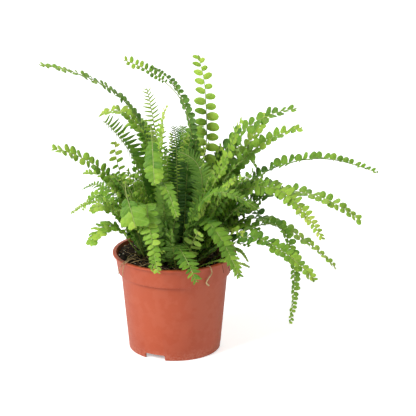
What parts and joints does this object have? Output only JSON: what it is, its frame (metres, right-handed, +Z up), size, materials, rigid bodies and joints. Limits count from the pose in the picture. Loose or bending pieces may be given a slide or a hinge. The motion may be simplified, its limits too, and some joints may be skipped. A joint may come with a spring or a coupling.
{
  "type": "potted fern",
  "caption": "Button fern in a plastic nursery pot: arching fronds with paired leaflets stand in dark potting soil inside a tapered, banded pot with a notched foot",
  "frame": {"origin": "on the ground, under the middle of the whole plant's box; the pot's axis stands 33.6 mm to -X and 26.1 mm to -Y of it", "axes": "+Z up; -Y is the side that the picture shows most of, and the long arching fronds reach along +X and -X"},
  "size_m": [0.3232, 0.2212, 0.2851],
  "materials": {
    "pot_plastic": "satin moulded plastic, terracotta coloured",
    "potting_soil": "matt, crumbly, fibrous",
    "frond": "soft satin leaf, paler towards the tips"
  },
  "bodies": {
    "root": {"pot": "pot_plastic", "soil": "potting_soil", "frond_top_left_long": "frond", "frond_top_dark": "frond", "frond_top_pale": "frond", "frond_tall": "frond", "frond_upright_comb": "frond", "frond_curl": "frond", "frond_left_high_pale": "frond", "frond_left_comb": "frond", "frond_left_long": "frond", "frond_left_upright": "frond", "frond_left_pale": "frond", "frond_left_far": "frond", "frond_left_thin": "frond", "frond_left_short": "frond", "frond_left_drooping": "frond", "frond_front_high_broad": "frond", "frond_front_left_broad": "frond", "frond_front_left_over": "frond", "frond_front_comb": "frond", "frond_front_over": "frond", "frond_front_right_over": "frond", "frond_right_low_thin": "frond", "frond_right_low_short": "frond", "frond_right_long": "frond", "frond_right_round": "frond", "frond_right_broad": "frond", "frond_right_low_long": "frond", "frond_right_hanging": "frond", "frond_right_front_low": "frond", "frond_right_high": "frond", "frond_right_high_low": "frond", "frond_right_upright_pale": "frond", "frond_right_back_pale": "frond", "frond_back_comb": "frond", "frond_middle_comb": "frond", "frond_front_level": "frond", "frond_right_inner_dark": "frond", "frond_back_left_high": "frond", "frond_back_high": "frond", "frond_back_right_high": "frond", "frond_back_middle": "frond", "frond_back_right": "frond", "frond_back_left": "frond", "frond_back_right_low": "frond", "frond_back_left_low": "frond", "frond_back_far_left": "frond", "frond_inner_back": "frond", "frond_core_left": "frond", "frond_core_middle": "frond", "frond_core_right": "frond"}
  },
  "joints": []
}
